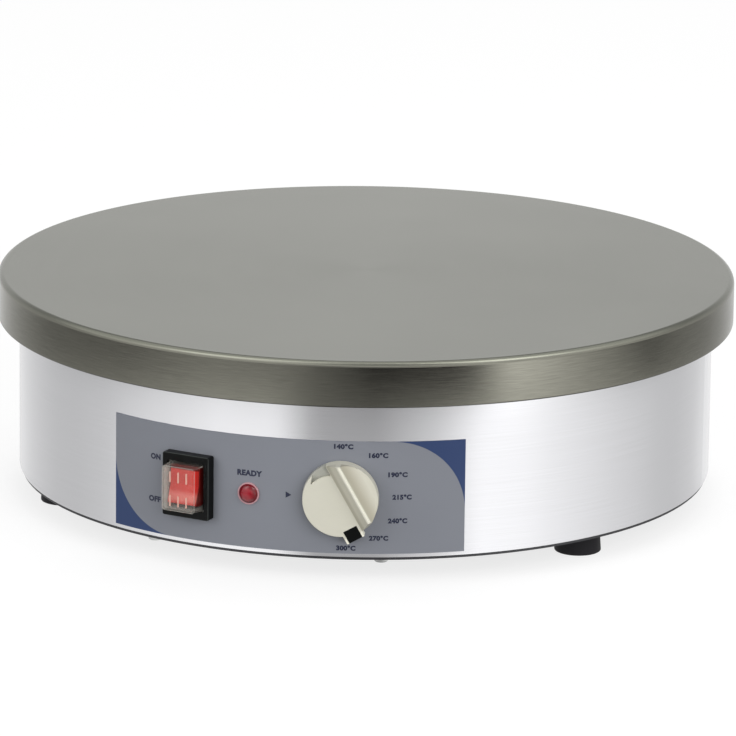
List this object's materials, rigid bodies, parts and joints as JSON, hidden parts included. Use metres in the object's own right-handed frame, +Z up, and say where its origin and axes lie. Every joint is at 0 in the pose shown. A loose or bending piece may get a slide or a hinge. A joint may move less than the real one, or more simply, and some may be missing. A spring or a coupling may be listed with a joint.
{
  "type": "electric crepe maker",
  "caption": "Round electric crepe maker: a cast iron cooking plate on a stainless steel drum, with a lit rocker switch, a pilot lamp and a thermostat knob on the front panel.",
  "frame": {"origin": "centre of the round body, on the surface that the feet stand on", "axes": "+Z up along the plate's axis; the control panel faces -Y and the cord gland faces +Y"},
  "size_m": [0.3999, 0.4024, 0.1217],
  "materials": {
    "cast_plate": "machined and seasoned cast iron, satin",
    "stainless_shell": "bright brushed stainless steel",
    "panel_print": "grey and blue printed overlay, satin",
    "dark_base": "dark painted sheet steel",
    "foot_rubber": "black moulded rubber",
    "knob_plastic": "ivory moulded thermoset plastic",
    "black_plastic": "black moulded plastic",
    "red_rocker": "translucent red plastic",
    "clear_cover": "clear flexible plastic",
    "red_lens": "translucent red lens",
    "lamp_ring": "pale tinted plastic",
    "zinc_steel": "zinc-plated steel",
    "galvanised_sheet": "galvanised sheet steel",
    "element_sheath": "oxidised nickel alloy sheath",
    "ceramic_white": "unglazed ceramic",
    "mineral_wool": "pressed mineral wool",
    "copper_tube": "drawn copper",
    "brass_metal": "turned brass",
    "bakelite": "dark phenolic moulding",
    "white_nylon": "white nylon",
    "neon_glass": "neon lamp glass",
    "reset_red": "red plastic",
    "gland_nylon": "black nylon",
    "wire_insulation": "silicone rubber insulation"
  },
  "bodies": {
    "base": {"cooking_plate": "cast_plate", "m6_studs": "zinc_steel", "insulating_washers": "ceramic_white", "m6_washers": "zinc_steel", "m6_nuts": "zinc_steel", "m5_washers": "zinc_steel", "m5_nuts": "zinc_steel", "body_shell": "stainless_shell", "control_panel_overlay": "panel_print", "base_plate": "dark_base", "base_screws": "zinc_steel", "clinch_nuts": "zinc_steel", "rubber_foot_front_right": "foot_rubber", "rubber_foot_front_left": "foot_rubber", "rubber_foot_rear": "foot_rubber", "foot_screws": "zinc_steel", "heating_element_outer": "element_sheath", "heating_element_inner": "element_sheath", "element_end_seals": "ceramic_white", "element_pins": "zinc_steel", "clamp_bar_right": "zinc_steel", "clamp_bar_left": "zinc_steel", "clamp_bar_front": "zinc_steel", "heat_shield_pan": "galvanised_sheet", "insulation_disc": "mineral_wool", "bulb_clips": "zinc_steel", "bulb_clip_screws": "zinc_steel", "thermostat_bulb": "copper_tube", "limiter_bulb": "copper_tube", "thermostat_capillary": "copper_tube", "limiter_capillary": "copper_tube", "thermostat_bracket": "galvanised_sheet", "thermostat_body": "bakelite", "thermostat_screws": "zinc_steel", "switch_housing": "black_plastic", "switch_bezel": "black_plastic", "switch_splash_cover": "clear_cover", "blade_terminals": "brass_metal", "pilot_lamp_body": "lamp_ring", "pilot_lamp_lens": "red_lens", "pilot_lamp_bulb": "neon_glass", "pilot_lamp_nut": "zinc_steel", "limiter_body": "bakelite", "limiter_nut": "zinc_steel", "reset_spring": "zinc_steel", "terminal_block": "white_nylon", "terminal_sleeves": "brass_metal", "terminal_screws": "zinc_steel", "block_screws": "zinc_steel", "earth_stud": "brass_metal", "wiring": "wire_insulation", "gland_body": "gland_nylon", "gland_seal": "foot_rubber", "gland_dome_nut": "gland_nylon", "gland_locknut": "gland_nylon"},
    "knob": {"thermostat_knob": "knob_plastic", "knob_pointer_inlay": "black_plastic", "thermostat_spindle": "zinc_steel"},
    "rocker": {"switch_rocker": "red_rocker"},
    "button": {"reset_button": "reset_red"}
  },
  "joints": [
    {"name": "knob_turn", "type": "hinge", "parent": "base", "child": "knob", "pos_m": [0.03336, -0.18542, 0.046], "axis": [0.1771, -0.9842, 0], "range_deg": [-14, 249]},
    {"name": "rocker_tilt", "type": "hinge", "parent": "base", "child": "rocker", "pos_m": [-0.04865, -0.18284, 0.046], "axis": [0.9664, -0.2571, 0], "range_deg": [0, 20]},
    {"name": "reset_press", "type": "slide", "parent": "base", "child": "button", "axis": [0, 0, 1], "range_m": [0, 0.002], "stiffness_N_per_m": 800, "springref_m": -0.002, "deforming": ["reset_spring"]}
  ]
}
